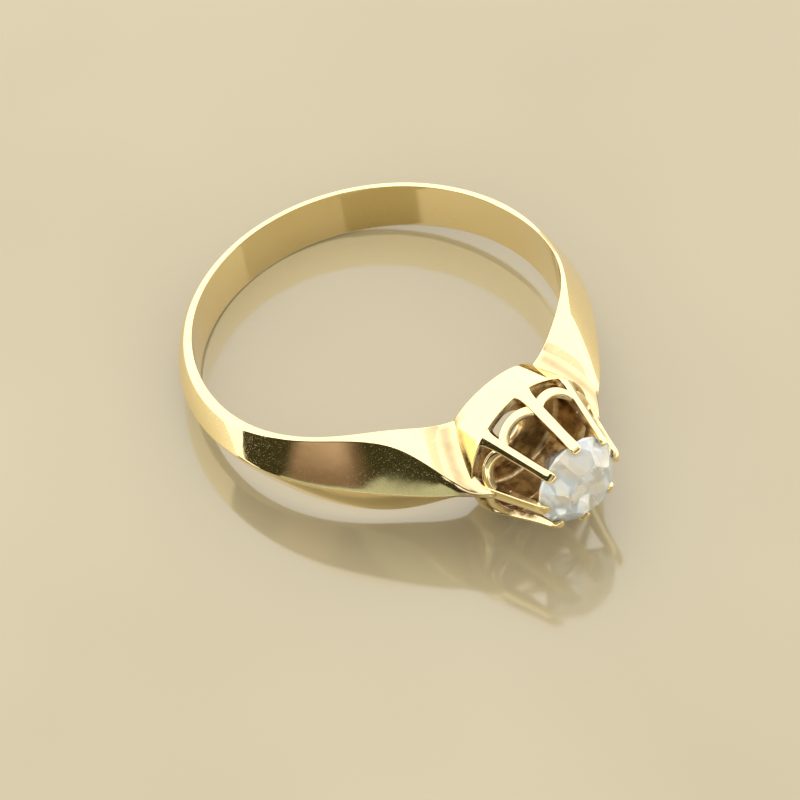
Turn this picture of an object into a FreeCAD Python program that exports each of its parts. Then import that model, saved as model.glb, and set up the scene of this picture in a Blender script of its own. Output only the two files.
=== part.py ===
import FreeCAD, Part
import math
import os

# Solitaire engagement ring: a knife-edge band whose faceted shoulders hold an eight-claw coronet head
# with one round stone.
#
# Frame: the origin is the centre of the finger hole and +Z runs along the hole, so the ring lies flat.
# The head points along -Y. A place in the head is given by its radius from the head's axis, its angle
# about that axis (0 is up, +Z, and it grows towards +X), and its height, the distance from the finger
# hole's centre towards the stone. All sizes are in millimetres and all angles in degrees.

Vector = FreeCAD.Vector
HOLE_AXIS = Vector(0, 0, 1)
HEAD_AXIS = Vector(0, -1, 0)
RING_CENTRE = Vector(0, 0, 0)

# Band
FINGER_RADIUS = 8.65
BAND_INNER_RADIUS = 8.2       # the band is lofted a little inside the finger hole, then bored to size
BACK_HALF_WIDTH = 1.31
BACK_FACET_RADIUS = 9.08      # outer edge of the flat rim facet, at the back of the band
BACK_FACET_DROP = 0.25        # fall of the rim facet for each millimetre outwards, at the back
BACK_RIDGE_RADIUS = 9.53      # the knife edge round the middle of the band
SHOULDER_FACET_DROP = 0.7     # the same fall on the shoulders, where the facet leans outwards
BACK_ANGLES = (112, 136, 160, 180)

# One row for each station of a shoulder, measured from the head's axis round the finger hole:
# angle, half-width at the finger hole, radius of the facet's outer edge, radius of the knife edge.
SHOULDER_STATIONS = (
    (16.0, 1.92, 11.80, 11.93),
    (18.5, 1.96, 11.50, 11.65),
    (22.0, 2.06, 10.88, 11.31),
    (26.0, 2.20, 10.24, 11.00),
    (31.0, 2.38, 9.65, 10.67),
    (38.0, 2.49, 9.18, 10.28),
    (48.0, 2.36, 8.90, 9.95),
    (62.0, 1.98, 8.84, 9.75),
    (78.0, 1.58, 8.91, 9.64),
    (94.0, 1.36, 9.01, 9.59),
)
RIDGE_END_HALF_WIDTH = 0.1    # the facets never close up completely where they reach the head
STEEP_FACET_ANGLE = 78.0      # up to here the facet has the shoulders' fall, and beyond it the back's

# Head
CLAW_COUNT = 8
CLAW_PITCH = 360.0 / CLAW_COUNT
COLLAR_BACK_HEIGHT = 7.4      # the collar starts inside the finger hole and is bored with the band
COLLAR_FRONT_HEIGHT = 10.55
COLLAR_FRONT_RADIUS = 3.5
COLLAR_FLARE = 0.2            # growth of the collar's radius for each millimetre of height
CLAW_LEAN = 0.345             # loss of the claws' radius for each millimetre of height
METAL_DEPTH = 0.4             # wall of the collar and depth of a claw, along the radius
CUP_FLOOR_HEIGHT = 9.0        # the inner face of the plate that closes the collar against the finger
LIGHT_HOLE_RADIUS = 0.95      # the round hole through that plate, behind the stone
SOLDER_GAP = 0.08             # thickness of the joint between the shoulders and the head
ENVELOPE_OVERRUN = 1.0        # the head's outside, as a cutter, runs this far past the collar's back

# Claws
CLAW_BASE_HALF_WIDTH = 0.30
CLAW_TIP_HALF_WIDTH = 0.25
CLAW_BEND_HEIGHT = 13.6       # where the claw starts to fold over the stone
CLAW_FOLD_RADIUS = 2.31       # a point half-way round the fold
CLAW_FOLD_HEIGHT = 13.95
CLAW_CREST_RADIUS = 2.07      # where the folded tip is highest
CLAW_TIP_HEIGHT = 14.15
CLAW_TIP_RADIUS = 1.93        # how near to the head's axis the folded tip reaches
CLAW_TIP_EDGE_HEIGHT = 14.05
CLAW_SEAT_HEIGHT = 13.4       # from here up the claw's inner face is shaped by the stone

# Gallery arches, one in each bay between two claws
ARCH_RECESS = 0.1             # how far the arches lie below the claws' outer faces
ARCH_THICKNESS = 0.3
ARCH_BACK_HEIGHT = 10.88      # the lowest point of the arch's back edge
ARCH_BACK_RISE = 0.62
ARCH_BACK_HALF_SPAN = 1.25
ARCH_EYE_HEIGHT = 11.27       # the lowest point of the arch's opening
ARCH_EYE_RISE = 0.62
ARCH_EYE_HALF_SPAN = 1.0
ARCH_TOP_HEIGHT = 12.2        # the arches' ends run into the claws below this height

# Stone: an old-cut round brilliant
GIRDLE_RADIUS = 2.15
GIRDLE_HEIGHT = 13.55         # back edge of the girdle
GIRDLE_THICKNESS = 0.1
TABLE_RADIUS = 1.22
TABLE_HEIGHT = 14.55
STAR_TILT = 27.0              # tilts are measured from the plane of the girdle
CROWN_TILT = 43.0
UPPER_GIRDLE_TILT = 49.0
PAVILION_TILT = 41.5
LOWER_GIRDLE_TILT = 43.5
CULET_RADIUS = 0.16
FACET_FOLD = 8


def ring_point(radius, angle, z):
    """The point at this radius and angle round the finger hole, counted from the head towards +X."""
    turn = math.radians(angle)
    return Vector(radius * math.sin(turn), -radius * math.cos(turn), z)


def collar_radius(height):
    """Outer radius of the collar at this height."""
    return COLLAR_FRONT_RADIUS - COLLAR_FLARE * (COLLAR_FRONT_HEIGHT - height)


def claw_radius(height):
    """Radius of the claws' outer faces at this height."""
    return COLLAR_FRONT_RADIUS - CLAW_LEAN * (height - COLLAR_FRONT_HEIGHT)


def head_profile(outline):
    """The flat face whose corners are these (radius, height) points."""
    points = [Vector(radius, -height, 0) for radius, height in outline]
    return Part.Face(Part.makePolygon(points + points[:1]))


def turned_about_head(profile):
    """The solid made by turning a flat profile about the head's axis."""
    return profile.revolve(RING_CENTRE, HEAD_AXIS, 360)


def rotate_in_head(shape, angle):
    """A copy of the shape, turned about the head's axis from 0, up, towards +X."""
    copy = shape.copy()
    copy.rotate(RING_CENTRE, HEAD_AXIS, -angle)
    return copy


def finger_hole():
    length = 4 * COLLAR_FRONT_RADIUS
    return Part.makeCylinder(FINGER_RADIUS, length, Vector(0, 0, -length / 2), HOLE_AXIS)


# Band and solder ---------------------------------------------------------------------------------

def band_section(angle, half_width, facet_radius, ridge_radius, facet_drop):
    """The band's closed outline at one angle: flat inside, two rim facets, and a knife edge outside."""
    inner_half_width = half_width + facet_drop * (FINGER_RADIUS - BAND_INNER_RADIUS)
    facet_half_width = half_width - facet_drop * (facet_radius - FINGER_RADIUS)
    facet_half_width = max(facet_half_width, RIDGE_END_HALF_WIDTH)
    corners = [
        ring_point(BAND_INNER_RADIUS, angle, inner_half_width),
        ring_point(facet_radius, angle, facet_half_width),
        ring_point(ridge_radius, angle, 0),
        ring_point(facet_radius, angle, -facet_half_width),
        ring_point(BAND_INNER_RADIUS, angle, -inner_half_width),
    ]
    return Part.makePolygon(corners + corners[:1])


def band_blank():
    """The whole band from one side of the head round to the other, before it is bored and fitted."""
    rows = []
    for angle, half_width, facet_radius, ridge_radius in SHOULDER_STATIONS:
        steep = angle <= STEEP_FACET_ANGLE
        drop = SHOULDER_FACET_DROP if steep else BACK_FACET_DROP
        rows.append((angle, half_width, facet_radius, ridge_radius, drop))
    for angle in BACK_ANGLES:
        rows.append((angle, BACK_HALF_WIDTH, BACK_FACET_RADIUS, BACK_RIDGE_RADIUS, BACK_FACET_DROP))
    other_side = [(360 - row[0],) + row[1:] for row in reversed(rows[:-1])]
    sections = [band_section(*row) for row in rows + other_side]
    return Part.makeLoft(sections, True, False)


def head_envelope(margin):
    """The outside of the collar and claws as one solid, grown by a margin, for fitting the shoulders."""
    start = COLLAR_BACK_HEIGHT - ENVELOPE_OVERRUN
    middle = COLLAR_FRONT_HEIGHT
    end = CLAW_BEND_HEIGHT
    back = collar_radius(start) + margin
    waist = COLLAR_FRONT_RADIUS + margin
    front = claw_radius(end) + margin
    lower = Part.makeCone(back, waist, middle - start, HEAD_AXIS * start, HEAD_AXIS)
    upper = Part.makeCone(waist, front, end - middle, HEAD_AXIS * middle, HEAD_AXIS)
    return lower.fuse(upper)


def make_band_and_solder():
    """The band, and the two solder joints between its shoulders and the head."""
    bored = band_blank().cut(finger_hole())
    band = bored.cut(head_envelope(SOLDER_GAP))
    joints = bored.common(head_envelope(SOLDER_GAP)).cut(head_envelope(0))
    left = [solid for solid in joints.Solids if solid.CenterOfMass.x < 0]
    right = [solid for solid in joints.Solids if solid.CenterOfMass.x > 0]
    return band, left, right


# Head --------------------------------------------------------------------------------------------

def make_collar():
    """The plain flared cup at the base of the head.

    Its back follows the finger hole, and is closed by a plate with a light hole in the middle.
    """
    outline = [
        (LIGHT_HOLE_RADIUS, COLLAR_BACK_HEIGHT),
        (collar_radius(COLLAR_BACK_HEIGHT), COLLAR_BACK_HEIGHT),
        (COLLAR_FRONT_RADIUS, COLLAR_FRONT_HEIGHT),
        (COLLAR_FRONT_RADIUS - METAL_DEPTH, COLLAR_FRONT_HEIGHT),
        (collar_radius(CUP_FLOOR_HEIGHT) - METAL_DEPTH, CUP_FLOOR_HEIGHT),
        (LIGHT_HOLE_RADIUS, CUP_FLOOR_HEIGHT),
    ]
    return turned_about_head(head_profile(outline)).cut(finger_hole())


def claw_outline():
    """A claw seen from outside the head: a narrow taper with a round tip, across and up the head."""
    base = COLLAR_FRONT_HEIGHT
    shoulder = CLAW_TIP_HEIGHT - CLAW_TIP_HALF_WIDTH
    low_left = Vector(-CLAW_BASE_HALF_WIDTH, -base, 0)
    low_right = Vector(CLAW_BASE_HALF_WIDTH, -base, 0)
    high_left = Vector(-CLAW_TIP_HALF_WIDTH, -shoulder, 0)
    high_right = Vector(CLAW_TIP_HALF_WIDTH, -shoulder, 0)
    tip = Vector(0, -CLAW_TIP_HEIGHT, 0)
    edges = [
        Part.LineSegment(low_left, low_right).toShape(),
        Part.LineSegment(low_right, high_right).toShape(),
        Part.Arc(high_right, tip, high_left).toShape(),
        Part.LineSegment(high_left, low_left).toShape(),
    ]
    return Part.Face(Part.Wire(edges))


def claw_blank():
    """The claw that points up, before the stone's notch is cut: a slice of a ring with a folded tip."""
    base_inside = Vector(COLLAR_FRONT_RADIUS - METAL_DEPTH, -COLLAR_FRONT_HEIGHT, 0)
    base_outside = Vector(COLLAR_FRONT_RADIUS, -COLLAR_FRONT_HEIGHT, 0)
    bend = Vector(claw_radius(CLAW_BEND_HEIGHT), -CLAW_BEND_HEIGHT, 0)
    fold = Vector(CLAW_FOLD_RADIUS, -CLAW_FOLD_HEIGHT, 0)
    crest = Vector(CLAW_CREST_RADIUS, -CLAW_TIP_HEIGHT, 0)
    tip_edge = Vector(CLAW_TIP_RADIUS, -CLAW_TIP_EDGE_HEIGHT, 0)
    tip_inside = Vector(CLAW_TIP_RADIUS, -GIRDLE_HEIGHT, 0)
    seat = Vector(claw_radius(CLAW_SEAT_HEIGHT) - METAL_DEPTH, -CLAW_SEAT_HEIGHT, 0)
    edges = [
        Part.LineSegment(base_inside, base_outside).toShape(),
        Part.LineSegment(base_outside, bend).toShape(),
        Part.Arc(bend, fold, crest).toShape(),
        Part.makePolygon([crest, tip_edge, tip_inside, seat, base_inside]),
    ]
    profile = Part.Face(Part.Wire(edges))
    blade = claw_outline().extrude(Vector(0, 0, 2 * COLLAR_FRONT_RADIUS))
    return turned_about_head(profile).common(blade)


def arch_outline():
    """One arch seen from outside the head: a U that is open towards the stone, across and up the head."""
    back_centre = ARCH_BACK_HEIGHT + ARCH_BACK_RISE
    eye_centre = ARCH_EYE_HEIGHT + ARCH_EYE_RISE
    back_left = Vector(-ARCH_BACK_HALF_SPAN, -back_centre, 0)
    back_right = Vector(ARCH_BACK_HALF_SPAN, -back_centre, 0)
    top_left = Vector(-ARCH_BACK_HALF_SPAN, -ARCH_TOP_HEIGHT, 0)
    top_right = Vector(ARCH_BACK_HALF_SPAN, -ARCH_TOP_HEIGHT, 0)
    eye_top_left = Vector(-ARCH_EYE_HALF_SPAN, -ARCH_TOP_HEIGHT, 0)
    eye_top_right = Vector(ARCH_EYE_HALF_SPAN, -ARCH_TOP_HEIGHT, 0)
    eye_left = Vector(-ARCH_EYE_HALF_SPAN, -eye_centre, 0)
    eye_right = Vector(ARCH_EYE_HALF_SPAN, -eye_centre, 0)
    edges = [
        half_ellipse(back_centre, ARCH_BACK_HALF_SPAN, ARCH_BACK_RISE),
        Part.LineSegment(back_right, top_right).toShape(),
        Part.LineSegment(top_right, eye_top_right).toShape(),
        Part.LineSegment(eye_top_right, eye_right).toShape(),
        half_ellipse(eye_centre, ARCH_EYE_HALF_SPAN, ARCH_EYE_RISE),
        Part.LineSegment(eye_left, eye_top_left).toShape(),
        Part.LineSegment(eye_top_left, top_left).toShape(),
        Part.LineSegment(top_left, back_left).toShape(),
    ]
    return Part.Face(Part.Wire(Part.sortEdges(edges)[0]))


def half_ellipse(centre_height, half_span, rise):
    """The half of an ellipse that bulges towards the finger, centred on the bay at this height."""
    centre = Vector(0, -centre_height, 0)
    if half_span >= rise:
        ellipse = Part.Ellipse(centre + Vector(half_span, 0, 0), centre + Vector(0, rise, 0), centre)
        return ellipse.toShape(0, math.pi)
    ellipse = Part.Ellipse(centre + Vector(0, rise, 0), centre + Vector(-half_span, 0, 0), centre)
    return ellipse.toShape(-math.pi / 2, math.pi / 2)


def arch_blank():
    """The arch of the bay that points up, reaching into both claws beside it."""
    inset = ARCH_RECESS + ARCH_THICKNESS
    outline = [
        (claw_radius(COLLAR_FRONT_HEIGHT) - inset, COLLAR_FRONT_HEIGHT),
        (claw_radius(COLLAR_FRONT_HEIGHT) - ARCH_RECESS, COLLAR_FRONT_HEIGHT),
        (claw_radius(ARCH_TOP_HEIGHT) - ARCH_RECESS, ARCH_TOP_HEIGHT),
        (claw_radius(ARCH_TOP_HEIGHT) - inset, ARCH_TOP_HEIGHT),
    ]
    blade = arch_outline().extrude(Vector(0, 0, 2 * COLLAR_FRONT_RADIUS))
    return turned_about_head(head_profile(outline)).common(blade)


# Stone -------------------------------------------------------------------------------------------

def facet_cutter(angle, tilt, radius, height, towards_stone_top):
    """A block whose face is the plane of one facet.

    The plane passes through the point at this radius, angle and height, and is tilted this far from the
    plane of the girdle. The block lies outside the stone.
    """
    size = 4 * GIRDLE_RADIUS
    up = 1 if towards_stone_top else -1
    lean = math.radians(tilt)
    turn = math.radians(angle)
    across = Vector(math.sin(turn), 0, math.cos(turn))
    normal = across * math.sin(lean) + HEAD_AXIS * (up * math.cos(lean))
    through = across * radius + HEAD_AXIS * height
    block = Part.makeBox(size, size, size, Vector(-size / 2, -size / 2, 0))
    block.Placement = FreeCAD.Placement(through, FreeCAD.Rotation(HOLE_AXIS, normal))
    return block


def make_stone():
    """A round stone with a girdle, a table, a culet and three tiers of facets above and two below."""
    girdle_top = GIRDLE_HEIGHT + GIRDLE_THICKNESS
    culet_height = GIRDLE_HEIGHT - (GIRDLE_RADIUS - CULET_RADIUS) * math.tan(math.radians(PAVILION_TILT))
    length = TABLE_HEIGHT - culet_height
    stone = Part.makeCylinder(GIRDLE_RADIUS, length, HEAD_AXIS * culet_height, HEAD_AXIS)
    step = 360.0 / FACET_FOLD
    for index in range(FACET_FOLD):
        main = index * step
        between = main + step / 2
        tiers = [
            facet_cutter(main, CROWN_TILT, GIRDLE_RADIUS, girdle_top, True),
            facet_cutter(between, STAR_TILT, TABLE_RADIUS, TABLE_HEIGHT, True),
            facet_cutter(main, PAVILION_TILT, GIRDLE_RADIUS, GIRDLE_HEIGHT, False),
        ]
        for side in (-1, 1):
            beside = main + side * step / 4
            tiers.append(facet_cutter(beside, UPPER_GIRDLE_TILT, GIRDLE_RADIUS, girdle_top, True))
            tiers.append(facet_cutter(beside, LOWER_GIRDLE_TILT, GIRDLE_RADIUS, GIRDLE_HEIGHT, False))
        stone = stone.cut(tiers)
    return stone


# Assembly ----------------------------------------------------------------------------------------

def make_nodes():
    """Every piece of the ring, by name."""
    band, solder_left, solder_right = make_band_and_solder()
    stone = make_stone()
    nodes = {
        "shank": band,
        "solder_left": Part.makeCompound(solder_left),
        "solder_right": Part.makeCompound(solder_right),
        "collar": make_collar(),
        "diamond": stone,
    }
    blank = claw_blank()
    claws = [rotate_in_head(blank, index * CLAW_PITCH).cut(stone) for index in range(CLAW_COUNT)]
    arch = arch_blank()
    for index, claw in enumerate(claws):
        following = claws[(index + 1) % CLAW_COUNT]
        bay = rotate_in_head(arch, (index + 0.5) * CLAW_PITCH).cut([claw, following])
        nodes[f"claw_{index + 1}"] = claw
        nodes[f"gallery_arch_{index + 1}"] = max(bay.Solids, key=lambda solid: solid.Volume)
    return nodes


os.makedirs("parts", exist_ok=True)
for name, shape in make_nodes().items():
    solids = shape.Solids
    state = "valid" if shape.isValid() else "INVALID"
    print(f"{name}: {len(solids)} solid(s), {state}, {shape.Volume:.4f} mm3")
    single = solids[0] if len(solids) == 1 else shape
    single.exportStep(f"parts/{name}.step")
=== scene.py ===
import math

import bpy
import numpy as np
from mathutils import Matrix, Vector


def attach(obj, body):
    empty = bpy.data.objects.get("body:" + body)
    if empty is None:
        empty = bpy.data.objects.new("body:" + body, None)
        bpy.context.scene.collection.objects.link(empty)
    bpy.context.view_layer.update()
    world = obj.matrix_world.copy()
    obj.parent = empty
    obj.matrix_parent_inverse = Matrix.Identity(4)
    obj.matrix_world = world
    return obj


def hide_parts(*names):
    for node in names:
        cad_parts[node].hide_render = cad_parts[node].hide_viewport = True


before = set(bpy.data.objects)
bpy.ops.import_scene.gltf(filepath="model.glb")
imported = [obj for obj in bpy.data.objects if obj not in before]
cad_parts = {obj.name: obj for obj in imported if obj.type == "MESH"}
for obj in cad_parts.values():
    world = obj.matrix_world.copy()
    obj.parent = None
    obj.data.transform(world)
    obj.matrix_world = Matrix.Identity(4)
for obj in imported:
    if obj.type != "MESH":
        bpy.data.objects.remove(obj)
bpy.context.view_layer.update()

# A solitaire engagement ring. The CAD frame has its origin at the centre of the finger hole, +Z
# along the hole and the head towards -Y. Sizes here are in millimetres, and become metres when a
# mesh is made. A place in the head is its radius from the head's axis, its angle about that axis (0
# is +Z and it grows towards +X) and its height, the distance from the finger hole's centre towards
# the stone.

MM = 0.001

# Band, as in the CAD model. A row of SHOULDER_STATIONS is the angle from the head, the half-width at
# the finger hole, the radius of the rim facet's outer edge and the radius of the knife edge.
FINGER_RADIUS = 8.65
BACK_HALF_WIDTH = 1.31
BACK_FACET_RADIUS = 9.08
BACK_FACET_DROP = 0.25
BACK_RIDGE_RADIUS = 9.53
SHOULDER_FACET_DROP = 0.7
STEEP_FACET_ANGLE = 78.0
RIDGE_END_HALF_WIDTH = 0.1
BACK_ANGLES = (112, 136, 160, 180)
SHOULDER_STATIONS = (
    (16.0, 1.92, 11.80, 11.93),
    (18.5, 1.96, 11.50, 11.65),
    (22.0, 2.06, 10.88, 11.31),
    (26.0, 2.20, 10.24, 11.00),
    (31.0, 2.38, 9.65, 10.67),
    (38.0, 2.49, 9.18, 10.28),
    (48.0, 2.36, 8.90, 9.95),
    (62.0, 1.98, 8.84, 9.75),
    (78.0, 1.58, 8.91, 9.64),
    (94.0, 1.36, 9.01, 9.59),
)
BAND_STEPS = 460
BORE_EDGE_SOFTNESS = 0.07      # how far from a corner its rounding starts
RIDGE_SOFTNESS = 0.07
BAND_START_RANGE = (15.0, 45.0)    # the angles between which it comes out of the head
BAND_START_STEPS = 400
BAND_END_SHARES = (0.75, 0.5, 0.25)
JOINT_SWELL = 0.10             # how far the band rises where it meets the head
JOINT_SWELL_REACH = 0.40
JOINT_HOLLOW = 0.045           # and the shallow hollow beyond that, left by filing
JOINT_HOLLOW_PLACE = 0.75
JOINT_HOLLOW_REACH = 0.38
SHOULDER_PAINTED_REFLECTION = 0.75             # painted reflection: a brown band on the shoulders near the head, where the collar is reflected in them
SHOULDER_PAINTED_REFLECTION_PLACE = 0.45
SHOULDER_PAINTED_REFLECTION_REACH = 0.3

# The band's finish, by the angle from the head: the outer slopes swell a little between the rim facet
# and the knife edge, and the facet's outer edge is crisp on the shoulders and worn at the back.
FINISH_ANGLES = (20, 40, 60, 84, 105)
SLOPE_CROWNS = (0.035, 0.035, 0.01, 0.0, 0.03)
FACET_EDGE_SOFTNESSES = (0.05, 0.05, 0.05, 0.10, 0.24)

# Head, as in the CAD model
CLAW_COUNT = 8
CLAW_PITCH = 360.0 / CLAW_COUNT
COLLAR_BACK_HEIGHT = 7.4
COLLAR_FRONT_HEIGHT = 10.55
COLLAR_FRONT_RADIUS = 3.5
COLLAR_FLARE = 0.2
CLAW_LEAN = 0.345
METAL_DEPTH = 0.4
BAND_SINK = METAL_DEPTH / 3    # how far the band's ends go into the head's wall
CUP_FLOOR_HEIGHT = 9.0
LIGHT_HOLE_RADIUS = 0.95
ARCH_RECESS = 0.1
ARCH_THICKNESS = 0.3
ARCH_BACK_HEIGHT = 10.88
ARCH_BACK_RISE = 0.62
ARCH_BACK_HALF_SPAN = 1.25
ARCH_EYE_HEIGHT = 11.27
ARCH_EYE_RISE = 0.62
ARCH_EYE_HALF_SPAN = 1.0
ARCH_TOP_HEIGHT = 12.2
GIRDLE_HEIGHT = 13.55

CLEAN_AT_FINGER = 0.05         # metal this near the finger hole is kept clean by wear, and the shoulders' painted reflection stops here too
CLEAN_OUTSIDE = 0.07           # and so is the cup's outside, to this depth


# Curves and grids --------------------------------------------------------------------------------

def spline(knots, values, where):
    """A natural cubic spline through the values at the knots, read at the places given."""
    x = np.asarray(knots, float)
    y = np.asarray(values, float).reshape(len(x), -1)
    step = np.diff(x)
    matrix = np.eye(len(x))
    right = np.zeros_like(y)
    for i in range(1, len(x) - 1):
        matrix[i, i - 1:i + 2] = (step[i - 1], 2 * (step[i - 1] + step[i]), step[i])
        right[i] = 6 * ((y[i + 1] - y[i]) / step[i] - (y[i] - y[i - 1]) / step[i - 1])
    bend = np.linalg.solve(matrix, right)
    at = np.asarray(where, float)
    i = np.clip(np.searchsorted(x, at) - 1, 0, len(x) - 2)
    h = step[i][..., None]
    a = (x[i + 1] - at)[..., None]
    b = (at - x[i])[..., None]
    curve = (bend[i] * a ** 3 + bend[i + 1] * b ** 3) / (6 * h)
    curve += (y[i] / h - bend[i] * h / 6) * a + (y[i + 1] / h - bend[i + 1] * h / 6) * b
    return curve if np.ndim(values) > 1 else curve[..., 0]


LONGEST_ROUNDING = 0.42        # the share of a side that the rounding of one corner may take
EDGE_BLEND = 0.1


def rounded_outline(corners, softness, side_steps=7, corner_steps=5, crowns=None):
    """Closed outlines with rounded corners, as (..., points, 2). corners is (..., n, 2), and softness
    says for each corner how far from it the rounding starts, up to LONGEST_ROUNDING of the side. Side i
    runs from corner i to corner i + 1, and crowns says how far it swells to the left."""
    corners = np.asarray(corners, float)
    count = corners.shape[-2]
    crowns = [0.0] * count if crowns is None else crowns
    sides = [np.roll(corners, -1, axis=-2)[..., i, :] - corners[..., i, :] for i in range(count)]
    lengths = [np.linalg.norm(side, axis=-1, keepdims=True) + 1e-9 for side in sides]
    points = []
    for i in range(count):
        following = (i + 1) % count
        start = np.minimum(softness[i] / lengths[i], LONGEST_ROUNDING)
        end = 1 - np.minimum(softness[following] / lengths[i], LONGEST_ROUNDING)
        normal = np.stack([-sides[i][..., 1], sides[i][..., 0]], axis=-1) / lengths[i]
        for share in (1 - np.cos(np.linspace(0, math.pi, side_steps))) / 2:
            along = start + (end - start) * share
            swell = crowns[i] * math.sin(math.pi * share)
            points.append(corners[..., i, :] + sides[i] * along + normal * swell)
        corner = corners[..., following, :]
        before = corners[..., i, :] + sides[i] * end
        next_start = np.minimum(softness[following] / lengths[following], LONGEST_ROUNDING)
        after = corner + sides[following] * next_start
        for share in np.linspace(0, 1, corner_steps + 2)[1:-1]:
            bezier = before * (1 - share) ** 2 + corner * 2 * share * (1 - share) + after * share ** 2
            points.append(bezier)
    return np.stack(points, axis=-2)


def rising(distance, start=0.0):
    """0 up to start, growing to 1 over EDGE_BLEND beyond it."""
    return np.clip((distance - start) / EDGE_BLEND, 0, 1)


def grid_faces(rows, columns, closed_rows=False):
    """Quads of a grid of points whose columns close into a ring."""
    faces = []
    for i in range(rows if closed_rows else rows - 1):
        below = i * columns
        above = ((i + 1) % rows) * columns
        for j in range(columns):
            k = (j + 1) % columns
            faces.append((below + j, below + k, above + k, above + j))
    return faces


def mesh_piece(name, points, faces, material, replaced, tarnish_and_reflection=None):
    """A smooth-shaded piece from points in millimetres, which stands for one CAD node. The last argument
    says for each point how brown it is, from 0 to 1: grime inside the head, and a painted reflection near the
    shoulders' joints."""
    mesh = bpy.data.meshes.new(name)
    mesh.from_pydata((np.asarray(points, float).reshape(-1, 3) * MM).tolist(), [], faces)
    mesh.validate()
    mesh.shade_smooth()
    fix_winding(mesh)
    if tarnish_and_reflection is not None:
        layer = mesh.attributes.new("tarnish_and_reflection", "FLOAT", "POINT")
        layer.data.foreach_set("value", np.ravel(tarnish_and_reflection))
    mesh.materials.append(material)
    piece = bpy.data.objects.new(name, mesh)
    bpy.context.scene.collection.objects.link(piece)
    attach(piece, "root")
    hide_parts(replaced)
    return piece


def fix_winding(mesh):
    """Turns the faces round if they look into the solid."""
    volume = 0.0
    for polygon in mesh.polygons:
        volume += polygon.center.dot(polygon.normal) * polygon.area
    if volume < 0:
        mesh.flip_normals()


def tube_piece(name, rows, material, replaced, tarnish_and_reflection=None):
    """A piece whose outline rings, (rows, columns, 3), are joined and closed with a fan at each end."""
    count, columns = rows.shape[:2]
    if tarnish_and_reflection is not None:
        tarnish_and_reflection = np.append(np.ravel(tarnish_and_reflection), (tarnish_and_reflection[0].mean(), tarnish_and_reflection[-1].mean()))
    points = rows.reshape(-1, 3).tolist()
    faces = grid_faces(count, columns)
    for row in (0, count - 1):
        middle = len(points)
        points.append(rows[row].mean(axis=0).tolist())
        first = row * columns
        for j in range(columns):
            k = (j + 1) % columns
            edge = (first + k, first + j) if row == 0 else (first + j, first + k)
            faces.append((*edge, middle))
    return mesh_piece(name, points, faces, material, replaced, tarnish_and_reflection)


# Places ------------------------------------------------------------------------------------------

def ring_points(radius, angle, z):
    """Points round the finger hole at these angles in degrees, counted from the head towards +X."""
    turn = np.radians(angle)
    return np.stack([radius * np.sin(turn), -radius * np.cos(turn), z + 0 * turn], axis=-1)


def head_points(radius, angle, height):
    """Points about the head's axis."""
    turn = np.radians(angle)
    return np.stack([radius * np.sin(turn), -height + 0 * turn, radius * np.cos(turn)], axis=-1)


def collar_radius(height):
    """The collar's outer surface, which flares towards the stone."""
    return COLLAR_FRONT_RADIUS - COLLAR_FLARE * (COLLAR_FRONT_HEIGHT - height)


def claw_radius(height):
    """The claws' outer surface, which leans in towards the stone."""
    return COLLAR_FRONT_RADIUS - CLAW_LEAN * (height - COLLAR_FRONT_HEIGHT)


def wall_radius(height):
    """The outer surface of the collar, and of the claws above it."""
    return np.minimum(collar_radius(height), claw_radius(height))


def outside_head(points):
    """How far points are outside the collar's and claws' outer surface, along the radius."""
    return np.hypot(points[..., 0], points[..., 2]) - wall_radius(-points[..., 1])


# Band --------------------------------------------------------------------------------------------

def band_stations():
    """Rows of angle, half-width, facet radius, facet half-width and ridge radius, all the way round."""
    rows = []
    for angle, half_width, facet_radius, ridge_radius in SHOULDER_STATIONS:
        drop = SHOULDER_FACET_DROP if angle <= STEEP_FACET_ANGLE else BACK_FACET_DROP
        facet_half_width = max(half_width - drop * (facet_radius - FINGER_RADIUS), RIDGE_END_HALF_WIDTH)
        rows.append((angle, half_width, facet_radius, facet_half_width, ridge_radius))
    back_facet_half_width = BACK_HALF_WIDTH - BACK_FACET_DROP * (BACK_FACET_RADIUS - FINGER_RADIUS)
    for angle in BACK_ANGLES:
        rows.append((angle, BACK_HALF_WIDTH, BACK_FACET_RADIUS, back_facet_half_width, BACK_RIDGE_RADIUS))
    return np.array(rows + [(360 - row[0],) + row[1:] for row in reversed(rows[:-1])])


STATIONS = band_stations()


def band_outline(angles):
    """The band's rounded outline, as (radius, z) points, at each of these angles."""
    sizes = spline(STATIONS[:, 0], STATIONS[:, 1:], angles)
    half_width, facet_radius, facet_half_width, ridge_radius = sizes.T
    bore = np.full_like(half_width, FINGER_RADIUS)
    corners = np.stack([
        np.stack([bore, -half_width], axis=-1),
        np.stack([bore, half_width], axis=-1),
        np.stack([facet_radius, facet_half_width], axis=-1),
        np.stack([ridge_radius, 0 * ridge_radius], axis=-1),
        np.stack([facet_radius, -facet_half_width], axis=-1),
    ], axis=-2)
    from_head = np.minimum(angles, 360 - angles)
    facet_edge = np.interp(from_head, FINISH_ANGLES, FACET_EDGE_SOFTNESSES)[:, None]
    crown = np.interp(from_head, FINISH_ANGLES, SLOPE_CROWNS)[:, None]
    softness = (BORE_EDGE_SOFTNESS, BORE_EDGE_SOFTNESS, facet_edge, RIDGE_SOFTNESS, facet_edge)
    return rounded_outline(corners, softness, crowns=(0, 0, crown, crown, 0))


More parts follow.
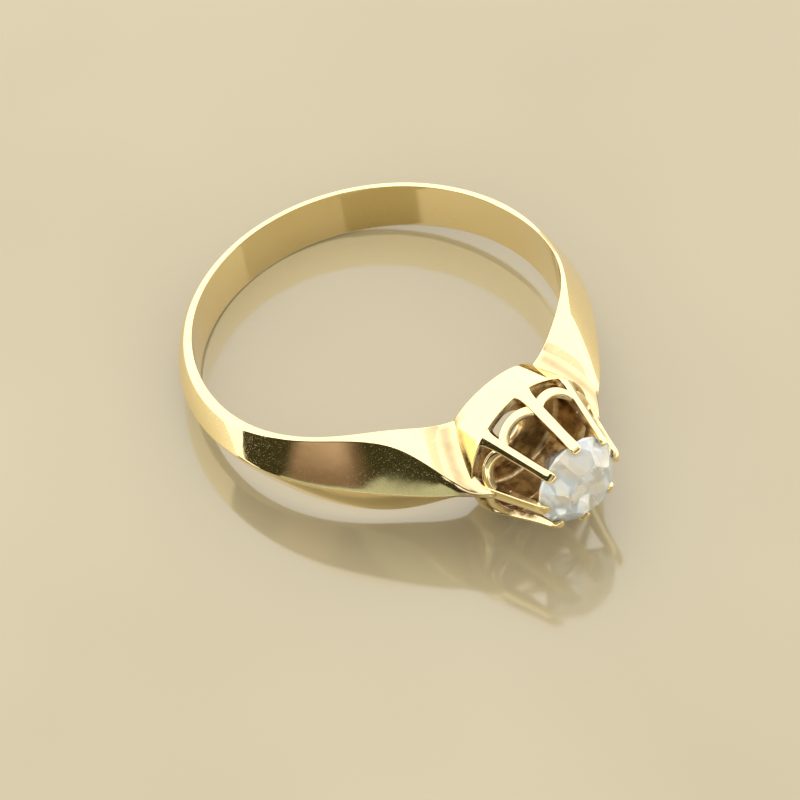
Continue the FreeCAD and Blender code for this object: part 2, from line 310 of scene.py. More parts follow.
def band_start_angles(sink):
    """For each point of the outline, the angle at which it comes out of the head, less a little sink."""
    angles = np.linspace(*BAND_START_RANGE, BAND_START_STEPS)
    outline = band_outline(angles)
    clear = outside_head(ring_points(outline[..., 0], angles[:, None], outline[..., 1])) + sink
    starts = []
    for column in range(clear.shape[1]):
        buried = np.nonzero(clear[:, column] < 0)[0]
        starts.append(angles[buried[-1]] if len(buried) else angles[0])
    return smooth_ring(np.array(starts))


def smooth_ring(values):
    """A closed row of values, each drawn towards its two neighbours."""
    return (np.roll(values, 1) + 2 * values + np.roll(values, -1)) / 4


def band_rows():
    """The band's outline rings from the right shoulder round the back to the left one."""
    starts = band_start_angles(BAND_SINK)
    share = np.linspace(0, 1, BAND_STEPS)
    columns = []
    for column, start in enumerate(starts):
        angles = start + (360 - 2 * start) * share
        outline = band_outline(angles)[:, column]
        columns.append(ring_points(outline[:, 0], angles, outline[:, 1]))
    return np.stack(columns, axis=1)


def grid_normals(rows):
    """Outward normals of an outline grid."""
    along = np.gradient(rows, axis=0)
    around = np.roll(rows, -1, axis=1) - np.roll(rows, 1, axis=1)
    normal = np.cross(around, along)
    return normal / (np.linalg.norm(normal, axis=-1, keepdims=True) + 1e-12)


def swell_at_joint(rows):
    """Lets the band's outside rise where the solder has drawn it up to the head, and dip beyond."""
    normal = grid_normals(rows)
    radius = np.hypot(rows[..., 0], rows[..., 1])
    outer = rising(radius - FINGER_RADIUS)
    away = np.maximum(outside_head(rows), 0)
    swell = JOINT_SWELL * np.exp(-(away / JOINT_SWELL_REACH) ** 2)
    hollow = JOINT_HOLLOW * np.exp(-((away - JOINT_HOLLOW_PLACE) / JOINT_HOLLOW_REACH) ** 2)
    return rows + normal * ((swell - hollow) * outer)[..., None]


def end_rings(ring):
    """Smaller and smaller rings that close one end of the band in the middle of the head's wall."""
    middle = ring.mean(axis=0)
    rings = []
    for share in BAND_END_SHARES:
        smaller = middle + (ring - middle) * share
        radius = wall_radius(-smaller[:, 1]) - METAL_DEPTH / 2
        smaller[:, 0] = np.sign(middle[0]) * np.sqrt(radius ** 2 - smaller[:, 2] ** 2)
        rings.append(smaller)
    return rings


def make_band(material):
    """The whole band, with a brown reflection of the collar painted on its shoulders near the head."""
    rows = swell_at_joint(band_rows())
    rows = np.stack(end_rings(rows[0])[::-1] + list(rows) + end_rings(rows[-1]))
    outer = rising(np.hypot(rows[..., 0], rows[..., 1]) - FINGER_RADIUS, CLEAN_AT_FINGER)
    away = np.maximum(outside_head(rows), 0)
    # Painted reflection: the shoulders are browned in a band near the head, standing in for the collar
    # reflected there.
    painted_reflection = SHOULDER_PAINTED_REFLECTION * np.exp(-((away - SHOULDER_PAINTED_REFLECTION_PLACE) / SHOULDER_PAINTED_REFLECTION_REACH) ** 2) * outer
    return tube_piece("band", rows, material, "shank", painted_reflection)


# Solder ------------------------------------------------------------------------------------------

SOLDER_REACH = 0.16            # how far the fillet runs up each surface
SOLDER_FADE = 0.15             # it is narrower this near the finger hole,
SOLDER_LEAST = 0.15            # down to this share of its reach
SOLDER_FOOT = 0.1              # how far its hidden foot is sunk
SOLDER_AHEAD = 1.2             # degrees from the joint to where the band's direction is taken
SOLDER_STEPS = 7


def make_solder(side, material):
    """The fillet along one shoulder's joint with the head. side is 1 on the right, -1 on the left."""
    starts = band_start_angles(0)
    count = len(starts)
    here = joint_line(starts)
    ahead = joint_line(starts + SOLDER_AHEAD)
    along_band = unit(ahead - here)
    across = unit(np.roll(here, -1, axis=0) - np.roll(here, 1, axis=0))
    wall_normal = unit(here * np.array([1, 0, 1]))
    up_wall = unit(np.cross(wall_normal, across))
    middle = here.mean(axis=0)
    up_wall *= np.sign(np.sum(up_wall * (here - middle), axis=-1, keepdims=True))
    radius = np.hypot(here[:, 0], here[:, 1])
    reach = SOLDER_REACH * np.clip((radius - FINGER_RADIUS) / SOLDER_FADE, SOLDER_LEAST, 1)[:, None]
    low = here + along_band * reach
    high = here + up_wall * reach
    bottom = here - (along_band + up_wall) * SOLDER_FOOT
    ring = []
    for share in np.linspace(0, 1, SOLDER_STEPS):
        ring.append(low * (1 - share) ** 2 + here * 2 * share * (1 - share) + high * share ** 2)
    ring.append(bottom)
    rows = np.stack(ring, axis=1) * np.array([side, 1, 1])
    points = rows.reshape(-1, 3)
    faces = grid_faces(count, rows.shape[1], closed_rows=True)
    name = "solder_fillet_right" if side > 0 else "solder_fillet_left"
    replaced = "solder_right" if side > 0 else "solder_left"
    return mesh_piece(name, points, faces, material, replaced)


def joint_line(angles):
    """One point for each column of the band's outline, at that column's own angle."""
    outline = band_outline(angles)
    own = np.arange(len(angles))
    return ring_points(outline[own, own, 0], angles, outline[own, own, 1])


def unit(vectors):
    """The vectors made one long."""
    return vectors / (np.linalg.norm(vectors, axis=-1, keepdims=True) + 1e-12)


# Collar ------------------------------------------------------------------------------------------

COLLAR_STEPS = 240
COLLAR_SOFTNESSES = (0.06, 0.07, 0.06, 0.3, 0.08, 0.06)
COLLAR_PAINTED_REFLECTION = 0.8               # how brown the cup is painted right at its joints with the shoulders, standing in for their reflection
COLLAR_PAINTED_REFLECTION_REACH = 0.8


def make_collar(material):
    """The plain flared cup. Its back lies on the finger hole, and is closed by a plate with a light hole."""
    angles = np.arange(COLLAR_STEPS) * 360.0 / COLLAR_STEPS
    across = np.sin(np.radians(angles))
    back = np.full(COLLAR_STEPS, COLLAR_BACK_HEIGHT)
    for _ in range(6):          # the radius depends on the height, so they are found in turn
        back = np.sqrt(FINGER_RADIUS ** 2 - (collar_radius(back) * across) ** 2)
    outer = collar_radius(back)
    same = np.ones(COLLAR_STEPS)
    hole = LIGHT_HOLE_RADIUS * same
    hole_back = np.sqrt(FINGER_RADIUS ** 2 - (hole * across) ** 2)
    corners = np.stack([
        np.stack([outer, back], axis=-1),
        np.stack([COLLAR_FRONT_RADIUS * same, COLLAR_FRONT_HEIGHT * same], axis=-1),
        np.stack([(COLLAR_FRONT_RADIUS - METAL_DEPTH) * same, COLLAR_FRONT_HEIGHT * same], axis=-1),
        np.stack([(collar_radius(CUP_FLOOR_HEIGHT) - METAL_DEPTH) * same, CUP_FLOOR_HEIGHT * same], axis=-1),
        np.stack([hole, CUP_FLOOR_HEIGHT * same], axis=-1),
        np.stack([hole, hole_back], axis=-1),
    ], axis=-2)
    outline = rounded_outline(corners, COLLAR_SOFTNESSES, side_steps=9)
    radius, height = outline[..., 0], outline[..., 1]
    finger = np.sqrt(FINGER_RADIUS ** 2 - (radius * across[:, None]) ** 2)
    height = np.maximum(height, finger)
    rows = head_points(radius, angles[:, None], height)
    faces = grid_faces(COLLAR_STEPS, rows.shape[1], closed_rows=True)
    tarnish_and_reflection = rising(collar_radius(height) - radius, CLEAN_OUTSIDE) * rising(height - finger, CLEAN_AT_FINGER)
    # Painted reflection: the cup is browned near its joints with the shoulders, standing in for the shoulders
    # reflected in it.
    joint = joint_line(band_start_angles(0))
    for side in (-1, 1):
        offset = rows[:, :, None] - joint * np.array([side, 1, 1])
        gap = np.linalg.norm(offset, axis=-1).min(axis=2)
        tarnish_and_reflection = np.maximum(tarnish_and_reflection, COLLAR_PAINTED_REFLECTION * np.clip(1 - gap / COLLAR_PAINTED_REFLECTION_REACH, 0, 1))
    return mesh_piece("head_collar", rows, faces, material, "collar", tarnish_and_reflection)


# Claws -------------------------------------------------------------------------------------------

CLAW_STEPS = 90
CLAW_TIP_ROUNDING = 0.62       # length over which the tip closes
CLAW_TIP_WEAR = 0.9            # length over which wear rounds off the ridge and the edges near the tip
CLAW_TIP_THICKNESS = 0.25      # the share of the claw's thickness that is left at its very tip
CLAW_WORN_SOFTNESS = 0.17
CLAW_EDGE_SOFTNESS = 0.06
CLAW_RIDGE_SOFTNESS = 0.04
CLAW_RIDGE = 0.045             # the outer face is filed to a low ridge along its middle
CLAW_CROWDING = 1.6            # how much closer together its rings are towards the tip
CLAW_TARNISH_DEPTH = 0.85      # tarnished up to this share of its thickness, from the inside
ARCH_TARNISH_DEPTH = 0.7
TARNISH_BLEND = 0.3

# Places along a claw: outer radius and height, inner radius and height, half-width. The claw is sunk
# in the collar at its foot, flares where it leaves it, leans in, and folds over the stone's edge.
CLAW_PLACES = (
    (3.34, 10.00, 3.16, 10.00, 0.52),
    (3.45, 10.46, 3.10, 10.46, 0.48),
    (3.43, 10.66, 3.07, 10.62, 0.38),
    (3.36, 10.90, 3.00, 10.86, 0.32),
    (3.26, 11.16, 2.90, 11.12, 0.29),
    (2.93, 12.09, 2.58, 12.03, 0.265),
    (2.61, 13.02, 2.27, 12.93, 0.245),
    (2.43, 13.58, 2.19, 13.42, 0.255),
    (2.31, 13.91, 2.17, 13.62, 0.275),
    (2.19, 14.05, 2.13, 13.74, 0.28),
    (2.06, 14.10, 2.04, 13.84, 0.265),
    (1.89, 14.05, 1.91, 13.96, 0.23),
)


def make_claw(number, material):
    """A claw: a wire filed to a low ridge, worn round near its tip."""
    places = np.array(CLAW_PLACES)
    run = np.concatenate([[0], np.cumsum(np.hypot(*np.diff(places[:, :2], axis=0).T))])
    at = run[-1] * (1 - (1 - np.linspace(0, 1, CLAW_STEPS)) ** CLAW_CROWDING)
    outer_radius, outer_height, inner_radius, inner_height, half_width = spline(run, places, at).T
    left = np.clip((run[-1] - at) / CLAW_TIP_ROUNDING, 0, 1)
    closing = np.sqrt(np.clip(1 - (1 - left) ** 2, 0.0004, 1))
    middle_radius = (outer_radius + inner_radius) / 2
    middle_height = (outer_height + inner_height) / 2
    thinning = CLAW_TIP_THICKNESS + (1 - CLAW_TIP_THICKNESS) * closing
    outer_radius = middle_radius + (outer_radius - middle_radius) * thinning
    outer_height = middle_height + (outer_height - middle_height) * thinning
    inner_radius = middle_radius + (inner_radius - middle_radius) * thinning
    inner_height = middle_height + (inner_height - middle_height) * thinning
    half_width = half_width * closing
    depth = np.hypot(outer_radius - inner_radius, outer_height - inner_height)
    crisp = np.clip((run[-1] - at) / CLAW_TIP_WEAR, 0, 1)
    zero = 0 * depth
    corners = np.stack([
        np.stack([-half_width, depth], axis=-1),
        np.stack([zero, depth + CLAW_RIDGE * crisp], axis=-1),
        np.stack([half_width, depth], axis=-1),
        np.stack([half_width, zero], axis=-1),
        np.stack([-half_width, zero], axis=-1),
    ], axis=-2)
    edge = CLAW_EDGE_SOFTNESS + (CLAW_WORN_SOFTNESS - CLAW_EDGE_SOFTNESS) * (1 - crisp)[:, None]
    ridge = CLAW_RIDGE_SOFTNESS + 0 * edge
    outline = rounded_outline(corners, (edge, ridge, edge, ridge, ridge), side_steps=6)
    share = outline[..., 1] / depth[:, None]
    radius = inner_radius[:, None] + (outer_radius - inner_radius)[:, None] * share
    height = inner_height[:, None] + (outer_height - inner_height)[:, None] * share
    upright = np.stack([outline[..., 0], -height, radius], axis=-1)
    rows = turned(upright, (number - 1) * CLAW_PITCH)
    below_stone = np.clip((GIRDLE_HEIGHT - inner_height) / TARNISH_BLEND, 0, 1)[:, None]
    tarnish_and_reflection = np.clip((CLAW_TARNISH_DEPTH - share) / TARNISH_BLEND, 0, 1) * below_stone
    return tube_piece(f"prong_{number}", rows, material, f"claw_{number}", tarnish_and_reflection)


def turned(points, angle):
    """Points of the part of the head that points up, turned about the head's axis towards +X."""
    turn = math.radians(angle)
    x = points[..., 0] * math.cos(turn) + points[..., 2] * math.sin(turn)
    z = points[..., 2] * math.cos(turn) - points[..., 0] * math.sin(turn)
    return np.stack([x, points[..., 1], z], axis=-1)


# Gallery arches ----------------------------------------------------------------------------------

ARCH_STEPS = 72
ARCH_SOFTNESS = 0.1
ARCH_CROWN = 0.025


def arch_edge(turn, lowest, rise, half_span):
    """Across and up the head along one edge of an arch: a half-ellipse, carried on by straight legs."""
    quarter = math.pi / 2
    inside = np.clip(turn, -quarter, quarter)
    beyond = np.clip(np.abs(turn) - quarter, 0, None)
    centre = lowest + rise
    across = half_span * np.sin(inside)
    height = centre - rise * np.cos(inside) + beyond * (ARCH_TOP_HEIGHT - centre)
    return across, height


def make_arch(number, material):
    """An arch across the bay that follows the claw of the same number."""
    reach = math.pi / 2 + 1
    turn = np.linspace(-reach, reach, ARCH_STEPS)
    back_across, back_height = arch_edge(turn, ARCH_BACK_HEIGHT, ARCH_BACK_RISE, ARCH_BACK_HALF_SPAN)
    eye_across, eye_height = arch_edge(turn, ARCH_EYE_HEIGHT, ARCH_EYE_RISE, ARCH_EYE_HALF_SPAN)
    width = np.hypot(back_across - eye_across, back_height - eye_height)
    zero = 0 * width
    thick = zero + ARCH_THICKNESS
    corners = np.stack([
        np.stack([zero, thick], axis=-1),
        np.stack([width, thick], axis=-1),
        np.stack([width, zero], axis=-1),
        np.stack([zero, zero], axis=-1),
    ], axis=-2)
    outline = rounded_outline(corners, (ARCH_SOFTNESS,) * 4, side_steps=6, crowns=(ARCH_CROWN, 0, 0, 0))
    share = outline[..., 0] / width[:, None]
    across = back_across[:, None] + (eye_across - back_across)[:, None] * share
    height = back_height[:, None] + (eye_height - back_height)[:, None] * share
    radius = claw_radius(height) - ARCH_RECESS - ARCH_THICKNESS + outline[..., 1]
    upright = np.stack([across, -height, np.sqrt(radius ** 2 - across ** 2)], axis=-1)
    rows = turned(upright, (number - 0.5) * CLAW_PITCH)
    tarnish_and_reflection = np.clip((ARCH_TARNISH_DEPTH - outline[..., 1] / ARCH_THICKNESS) / TARNISH_BLEND, 0, 1)
    return tube_piece(f"arch_{number}", rows, material, f"gallery_arch_{number}", tarnish_and_reflection)


# Materials ---------------------------------------------------------------------------------------

def new_material(name):
    """A material with its node tree and its shader."""
    material = bpy.data.materials.new(name)
    material.use_nodes = True
    nodes = material.node_tree.nodes
    shader = next(entry for entry in nodes if entry.type == "BSDF_PRINCIPLED")
    return material, material.node_tree, shader


def node(tree, kind, **inputs):
    """A new node. Inputs are set by name, with _ for a space, and node properties too where they match."""
    made = tree.nodes.new(kind)
    for key, value in inputs.items():
        if hasattr(made, key):
            setattr(made, key, value)
        else:
            made.inputs[key.replace("_", " ")].default_value = value
    return made


def link(tree, output, target):
    """Feeds an output into an input."""
    tree.links.new(output, target)


def object_millimetres(tree, turn=(0, 0, 0), stretch=(1, 1, 1)):
    """Object coordinates in millimetres, turned and stretched."""
    place = node(tree, "ShaderNodeTexCoord")
    scale = [value / MM for value in stretch]
    mapping = node(tree, "ShaderNodeMapping", Rotation=[math.radians(a) for a in turn], Scale=scale)
    link(tree, place.outputs["Object"], mapping.inputs["Vector"])
    return mapping.outputs["Vector"]


def noise(tree, vector, size, detail=2.0, roughness=0.5):
    """A noise factor whose features are about this many millimetres across."""
    texture = node(tree, "ShaderNodeTexNoise", Scale=1.0 / size, Detail=detail, Roughness=roughness)
    link(tree, vector, texture.inputs["Vector"])
    return texture.outputs["Fac"]


def ramp(tree, factor, low, high, low_value=0.0, high_value=1.0):
    """A factor mapped from low..high to low_value..high_value and clamped."""
    mapped = node(tree, "ShaderNodeMapRange")
    mapped.inputs["From Min"].default_value = low
    mapped.inputs["From Max"].default_value = high
    mapped.inputs["To Min"].default_value = low_value
    mapped.inputs["To Max"].default_value = high_value
    link(tree, factor, mapped.inputs["Value"])
    return mapped.outputs["Result"]


def combine(tree, operation, first, second):
    """A sum, product or the like of two factors."""
    maths = node(tree, "ShaderNodeMath", operation=operation)
    for socket, value in zip(maths.inputs, (first, second)):
        if isinstance(value, (int, float)):
            socket.default_value = value
        else:
            link(tree, value, socket)
    return maths.outputs[0]


def mixed_colour(tree, factor, first, second):
    """The first colour where the factor is 0, and the second where it is 1."""
    mix = node(tree, "ShaderNodeMix", data_type="RGBA")
    link(tree, factor, mix.inputs["Factor"])
    colour_sockets = [socket for socket in mix.inputs if socket.type == "RGBA"]
    for socket, value in zip(colour_sockets, (first, second)):
        if isinstance(value, tuple):
            socket.default_value = (*value, 1.0)
        else:
            link(tree, value, socket)
    return next(socket for socket in mix.outputs if socket.type == "RGBA")


SCRATCH_RARITY = 0.17


def scratches(tree, turn, length, width):
    """Fine straight scratches in one direction: thin ridges of a noise drawn out along it."""
    vector = object_millimetres(tree, turn, (1 / length, 1 / width, 1 / width))
    lines = noise(tree, vector, 1.0, detail=3.0, roughness=0.6)
    return ramp(tree, lines, 0.5 + SCRATCH_RARITY, 0.5 + SCRATCH_RARITY + 0.06)


# The scratches' directions as turns, with the length and width of each set.
SCRATCH_SETS = (
    ((0, 0, 25), 1.8, 0.06),
    ((0, 70, 100), 1.2, 0.05),
    ((35, 20, 60), 1.5, 0.045),
)
GOLD_TONES = ((0.95, 0.79, 0.43), (0.93, 0.76, 0.40))
SOLDER_TONES = ((0.95, 0.81, 0.50), (0.88, 0.73, 0.42))
GRIME_AND_PAINTED_REFLECTION = ((0.17, 0.095, 0.035), (0.82, 0.64, 0.38))      # inside the head, the grime's dark and light patches; near the shoulders' joints they are a painted reflection
# The browns of the reflection painted on the shoulders near the head.
PAINTED_REFLECTION_BROWNS = ((0.28, 0.20, 0.12), (0.40, 0.30, 0.19))


def gold(name, tones, roughness, wave, scratch_depth, tarnish_and_reflection=None):
    """Polished gold: slow waves left by hand polishing, scratches, and duller patches. tones are its
    clean colours, and the last argument a pair of browns for the points marked brown: grime inside the head,
    and a reflection painted near the shoulders' joints."""
    material, tree, shader = new_material(name)
    shader.inputs["Metallic"].default_value = 1.0
    plain = object_millimetres(tree)
    patches = ramp(tree, noise(tree, plain, 1.6, detail=4.0), 0.35, 0.75)
    tone = mixed_colour(tree, patches, *tones)
    marks = None
    for turn, length, width in SCRATCH_SETS:
        layer = scratches(tree, turn, length, width)
        marks = layer if marks is None else combine(tree, "MAXIMUM", marks, layer)
    dull = ramp(tree, patches, 0, 1, roughness * 0.7, roughness * 1.5)
    # Browns: grime inside the head, and a reflection painted where the shoulders meet the head.
    if tarnish_and_reflection:
        brown_there = node(tree, "ShaderNodeAttribute", attribute_name="tarnish_and_reflection").outputs["Fac"]
        blotches = ramp(tree, noise(tree, plain, 0.75, detail=3.0), 0.34, 0.58)
        brown = mixed_colour(tree, blotches, *tarnish_and_reflection)
        tone = mixed_colour(tree, brown_there, tone, brown)
        marks = combine(tree, "MULTIPLY", marks, ramp(tree, brown_there, 0, 1, 1.0, 0.1))
        dull = combine(tree, "ADD", dull, combine(tree, "MULTIPLY", brown_there, 0.18))
    dull = combine(tree, "ADD", dull, combine(tree, "MULTIPLY", marks, 0.22))
    link(tree, tone, shader.inputs["Base Color"])
    link(tree, dull, shader.inputs["Roughness"])
    slow = node(tree, "ShaderNodeBump", Strength=1.0, Distance=wave * MM)
    link(tree, noise(tree, plain, 1.4, detail=2.0), slow.inputs["Height"])
    fine = node(tree, "ShaderNodeBump", Strength=0.5, Distance=scratch_depth * MM, invert=True)
    link(tree, marks, fine.inputs["Height"])
    link(tree, slow.outputs["Normal"], fine.inputs["Normal"])
    link(tree, fine.outputs["Normal"], shader.inputs["Normal"])
    return material


STONE_TINTS = ((0.66, 0.73, 0.77), (0.72, 0.67, 0.52))


def diamond_glass():
    """The stone: a little milky, pale blue-grey with beige patches, under a thin film of grease."""
    material, tree, shader = new_material("old_cut_diamond")
    shader.inputs["IOR"].default_value = 2.417
    shader.inputs["Transmission Weight"].default_value = 0.62
    plain = object_millimetres(tree)
    film = ramp(tree, noise(tree, plain, 0.5, detail=5.0), 0.35, 0.75, 0.02, 0.10)
    link(tree, film, shader.inputs["Roughness"])
    tint = ramp(tree, noise(tree, plain, 1.4, detail=2.0), 0.45, 0.62)
    link(tree, mixed_colour(tree, tint, *STONE_TINTS), shader.inputs["Base Color"])
    polish = node(tree, "ShaderNodeBump", Strength=0.3, Distance=0.0004 * MM)
    lines = noise(tree, object_millimetres(tree, (20, 0, 30), (1, 12, 1)), 0.3)
    link(tree, lines, polish.inputs["Height"])
    link(tree, polish.outputs["Normal"], shader.inputs["Normal"])
    return material


# Scene -------------------------------------------------------------------------------------------

CAMERA_AZIMUTH = -32.44
CAMERA_ELEVATION = 44.97
CAMERA_ROLL = -11.01
CAMERA_RIGHT = 0.895           # the camera looks past the finger hole's centre, this far to the right
CAMERA_UP = -3.034             # and this far up
CAMERA_DISTANCE = 200.0
SENSOR = 36.0
CAMERA_LENS = 194.35


def make_camera():
    """The camera above the ring, in front of the head and to its left."""
    azimuth, elevation, roll = (math.radians(a) for a in (CAMERA_AZIMUTH, CAMERA_ELEVATION, CAMERA_ROLL))
    level_share = math.cos(elevation)
    back = Vector((math.sin(azimuth) * level_share, -math.cos(azimuth) * level_share, math.sin(elevation)))
    level = Vector((math.cos(azimuth), math.sin(azimuth), 0))
    right = Matrix.Rotation(roll, 3, back) @ level
    up = back.cross(right)
    data = bpy.data.cameras.new("camera")
    data.sensor_width = SENSOR
    data.lens = CAMERA_LENS
    data.clip_start = 0.01
    data.clip_end = 5.0
    camera = bpy.data.objects.new("camera", data)
    bpy.context.scene.collection.objects.link(camera)
    place = (back * CAMERA_DISTANCE + right * CAMERA_RIGHT + up * CAMERA_UP) * MM
    axes = Matrix((right, up, back)).transposed().to_4x4()
    camera.matrix_world = Matrix.Translation(place) @ axes
    bpy.context.scene.camera = camera
    return camera


SLAB_TURN = -44.0              # the slab's long side, turned from +Y
SLAB_HALF_SIZE = (21.8, 25.8)
SLAB_SHIFT = -0.8
SLAB_THICKNESS = 8.0
SLAB_TONES = ((0.255, 0.215, 0.125), (0.285, 0.245, 0.15))
TABLE_RADIUS = 100.0
TABLE_WHITE = (0.9, 0.88, 0.85)

# The ring rests on the foot of its lowest claw and on the rim at the back of its band: how far each
# of them is from the finger hole's centre, and how far down.
REST_HEAD = (10.55, 3.5)
REST_BACK = (8.65, 1.31)


def floor_height(y):
    """Height of the floor at this distance from the finger hole's centre, away from the head."""
    slope = (REST_HEAD[1] - REST_BACK[1]) / (REST_HEAD[0] + REST_BACK[0])
    return -REST_BACK[1] + (y - REST_BACK[0]) * slope


def stage_mesh(name, points, faces, material):
    """Something under the ring, from points in millimetres."""
    mesh = bpy.data.meshes.new(name)
    mesh.from_pydata([tuple(value * MM for value in point) for point in points], [], faces)
    mesh.materials.append(material)
    piece = bpy.data.objects.new(name, mesh)
    bpy.context.scene.collection.objects.link(piece)
    return piece


def make_slab():
    """The polished pale slab that the ring lies on."""
    material, tree, shader = new_material("pale_slab")
    shader.inputs["Roughness"].default_value = 0.1
    shader.inputs["IOR"].default_value = 1.6
    shader.inputs["Specular IOR Level"].default_value = 1.0
    plain = object_millimetres(tree)
    tone = ramp(tree, noise(tree, plain, 25.0, detail=2.0), 0.3, 0.7)
    link(tree, mixed_colour(tree, tone, *SLAB_TONES), shader.inputs["Base Color"])
    turn = math.radians(SLAB_TURN)
    across = np.array((math.cos(turn), math.sin(turn)))
    along = np.array((-math.sin(turn), math.cos(turn)))
    top = []
    for right, back in ((-1, -1), (1, -1), (1, 1), (-1, 1)):
        x, y = across * (right * SLAB_HALF_SIZE[0] + SLAB_SHIFT) + along * (back * SLAB_HALF_SIZE[1])
        top.append((x, y, floor_height(y)))
    bottom = [(x, y, z - SLAB_THICKNESS) for x, y, z in top]
    sides = [(i, i + 4, (i + 1) % 4 + 4, (i + 1) % 4) for i in range(4)]
    stage_mesh("floor", top + bottom, [(0, 1, 2, 3)] + sides, material)


def make_table():
    """The white table under the slab."""
    material, _, shader = new_material("white_table")
    shader.inputs["Base Color"].default_value = (*TABLE_WHITE, 1.0)
    shader.inputs["Roughness"].default_value = 0.8
    turns = np.radians(np.arange(0, 360, 5))
    rim = [(TABLE_RADIUS * math.cos(t), TABLE_RADIUS * math.sin(t)) for t in turns]
    points = [(x, y, floor_height(y) - SLAB_THICKNESS) for x, y in rim]
    stage_mesh("table", points, [tuple(range(len(points)))], material)


STUDIO_COLOUR = (1.0, 0.975, 0.93)
STUDIO_RADIANCE = 1.9


def make_world():
    """A bright, warm white studio all round."""
    world = bpy.data.worlds.new("studio")
    world.use_nodes = True
    background = next(entry for entry in world.node_tree.nodes if entry.type == "BACKGROUND")
    background.inputs["Color"].default_value = (*STUDIO_COLOUR, 1.0)
    background.inputs["Strength"].default_value = STUDIO_RADIANCE
    bpy.context.scene.world = world


def direction(azimuth, elevation):
    """Unit vectors: azimuth 0 is +Y and 90 is +X."""
    a, e = np.radians(azimuth), np.radians(elevation)
    return np.stack([np.sin(a) * np.cos(e), np.cos(a) * np.cos(e), np.sin(e)], axis=-1)


def ease(value, low, high):
    """0 below low, 1 above high, and a smooth step between."""
    share = np.clip((value - low) / (high - low), 0, 1)
    return (share * share * (3 - 2 * share))[..., None]


# What the gold reflects besides the white studio: two screens, which darken it as a room would.
SCREEN_DISTANCE = 170.0
SCREEN_COLUMNS = 97
SCREEN_ROWS = 61
SCREEN_FOOT = -12              # elevation of their lower edges
SIDE_AZIMUTHS = (-160, -64.5)
FRONT_AZIMUTHS = (-222, -160)
DARK_OLIVE = np.array((0.042, 0.040, 0.020))
PINK_BROWN = np.array((0.22, 0.15, 0.11))
PINK_LIGHT = np.array((0.56, 0.41, 0.35))
PALE_GREY = np.array((0.52, 0.56, 0.47))
FRONT_BROWN = np.array((0.30, 0.22, 0.15))

# The side screen is pale below a line. Each pair is an azimuth and the line's elevation there.
LOW_LINE = (
    (-150, 29),
    (-136, 22),
    (-131, 17.5),
    (-126, 12.5),
    (-121, 7.5),
    (-117, 3.5),
    (-112, -1.2),
    (-84, -1.6),
    (-81, -9),
)

# The screens' top edges, in the same way.
TOP_LINE = (
    (-160, 52),
    (-140, 50),
    (-112, 35),
    (-64, 27),
)
FRONT_TOP_LINE = (
    (-222, 50),
    (-160, 50),
)

# Where soft edges begin and end, in degrees: of the pinkish patch, of the glow in it, of the pale
# ground below LOW_LINE, and of the front screen's upper part.
PATCH_LEFT = (-116, -108)
PATCH_RIGHT = (-91, -82)
PATCH_TOP = (8, 13)
GLOW_LEFT = (-112, -104)
GLOW_FOOT = (-1, 5.5)
PALE_EDGE = (-1, 0.6)
FRONT_RISE = (5, 50)
FRONT_LIGHT = 0.6              # how near the front screen's top comes to the studio's white


def side_screen(azimuth, elevation):
    """The screen on the left: dark, with a pinkish patch low in its middle."""
    colour = DARK_OLIVE + 0 * azimuth[..., None]
    patch = ease(azimuth, *PATCH_LEFT) * (1 - ease(azimuth, *PATCH_RIGHT)) * (1 - ease(elevation, *PATCH_TOP))
    glow = ease(elevation, *GLOW_FOOT) * ease(azimuth, *GLOW_LEFT)
    colour = colour + (PINK_BROWN + (PINK_LIGHT - PINK_BROWN) * glow - colour) * patch
    line = np.interp(azimuth, *zip(*LOW_LINE))
    below = 1 - ease(elevation - line, *PALE_EDGE)
    return colour + (PALE_GREY - colour) * below


def front_screen(azimuth, elevation):
    """The screen in front of the head: a brown that grows lighter upwards."""
    rise = ease(elevation, *FRONT_RISE)
    return FRONT_BROWN + (STUDIO_RADIANCE - FRONT_BROWN) * rise * FRONT_LIGHT


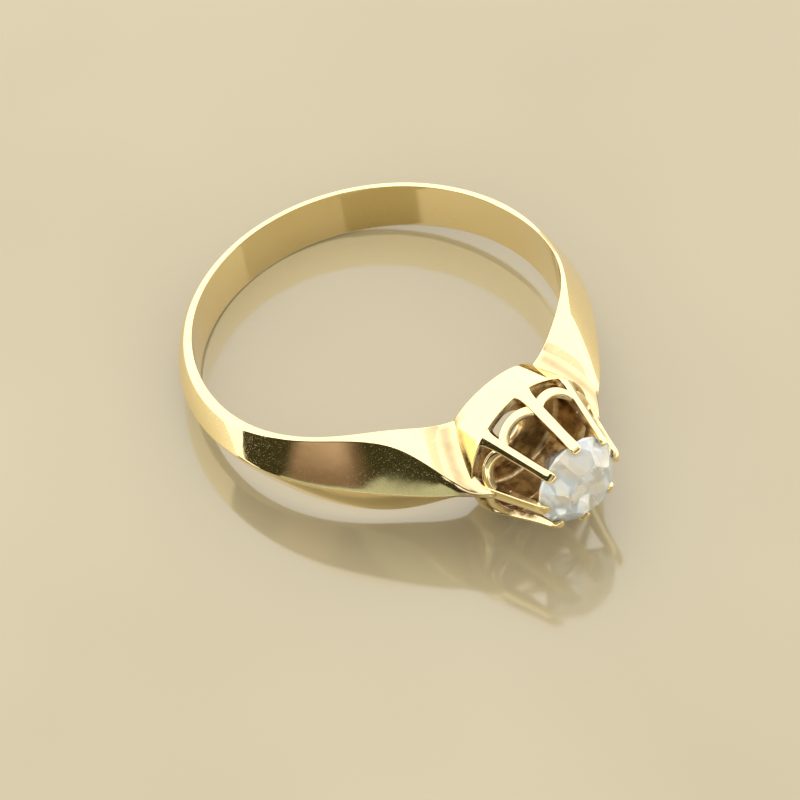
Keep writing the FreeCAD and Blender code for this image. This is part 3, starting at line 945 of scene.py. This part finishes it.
def make_screen(name, azimuths, top_line, colour_at):
    """A curved screen round the scene, which only reflections see."""
    across, up = np.meshgrid(np.linspace(*azimuths, SCREEN_COLUMNS), np.linspace(0, 1, SCREEN_ROWS))
    rise = SCREEN_FOOT + (np.interp(across, *zip(*top_line)) - SCREEN_FOOT) * up
    points = direction(across, rise) * SCREEN_DISTANCE * MM
    rows, columns = across.shape
    faces = []
    for i in range(rows - 1):
        for j in range(columns - 1):
            first = i * columns + j
            faces.append((first, first + 1, first + columns + 1, first + columns))
    mesh = bpy.data.meshes.new(name)
    mesh.from_pydata(points.reshape(-1, 3).tolist(), [], faces)
    tint = mesh.color_attributes.new("radiance", "FLOAT_COLOR", "POINT")
    colours = np.ones((rows * columns, 4))
    colours[:, :3] = colour_at(across, rise).reshape(-1, 3)
    tint.data.foreach_set("color", colours.ravel())
    material = bpy.data.materials.new(name)
    material.use_nodes = True
    tree = material.node_tree
    tree.nodes.clear()
    source = node(tree, "ShaderNodeAttribute", attribute_name="radiance")
    glow = node(tree, "ShaderNodeEmission", Strength=1.0)
    output = node(tree, "ShaderNodeOutputMaterial")
    link(tree, source.outputs["Color"], glow.inputs["Color"])
    link(tree, glow.outputs["Emission"], output.inputs["Surface"])
    material.cycles.emission_sampling = "NONE"
    mesh.materials.append(material)
    screen = bpy.data.objects.new(name, mesh)
    bpy.context.scene.collection.objects.link(screen)
    screen.visible_camera = False
    screen.visible_diffuse = False
    screen.visible_transmission = False
    screen.visible_shadow = False
    return screen


def softbox(name, azimuth, elevation, distance, size, power, colour):
    """A soft lamp that shines on the ring but isn't seen in it."""
    data = bpy.data.lights.new(name, "AREA")
    data.shape = "RECTANGLE"
    data.size = size[0] * MM
    data.size_y = size[1] * MM
    data.energy = power
    data.color = colour
    lamp = bpy.data.objects.new(name, data)
    bpy.context.scene.collection.objects.link(lamp)
    aim = Vector(direction(azimuth, elevation))
    lamp.location = aim * distance * MM
    lamp.rotation_euler = aim.to_track_quat("Z", "Y").to_euler()
    lamp.visible_glossy = False
    return lamp


make_camera()
make_slab()
make_table()
make_world()
softbox("overhead", 20, 70, distance=300, size=(200, 200), power=0.25, colour=(1.0, 0.97, 0.9))
make_screen("side_screen", SIDE_AZIMUTHS, TOP_LINE, side_screen)
make_screen("front_screen", FRONT_AZIMUTHS, FRONT_TOP_LINE, front_screen)

polished = gold("polished_gold", GOLD_TONES, 0.045, wave=0.005, scratch_depth=0.003, tarnish_and_reflection=PAINTED_REFLECTION_BROWNS)
head_gold = gold("head_gold", GOLD_TONES, 0.06, wave=0.006, scratch_depth=0.003, tarnish_and_reflection=GRIME_AND_PAINTED_REFLECTION)
joint_gold = gold("solder_gold", SOLDER_TONES, 0.14, wave=0.02, scratch_depth=0.004)
stone = diamond_glass()

make_band(polished)
make_collar(head_gold)
for number in range(1, CLAW_COUNT + 1):
    make_claw(number, head_gold)
    make_arch(number, head_gold)
for side in (-1, 1):
    make_solder(side, joint_gold)
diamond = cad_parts["diamond"]
diamond.data.materials.clear()
diamond.data.materials.append(stone)

bpy.context.scene.view_settings.view_transform = "Standard"
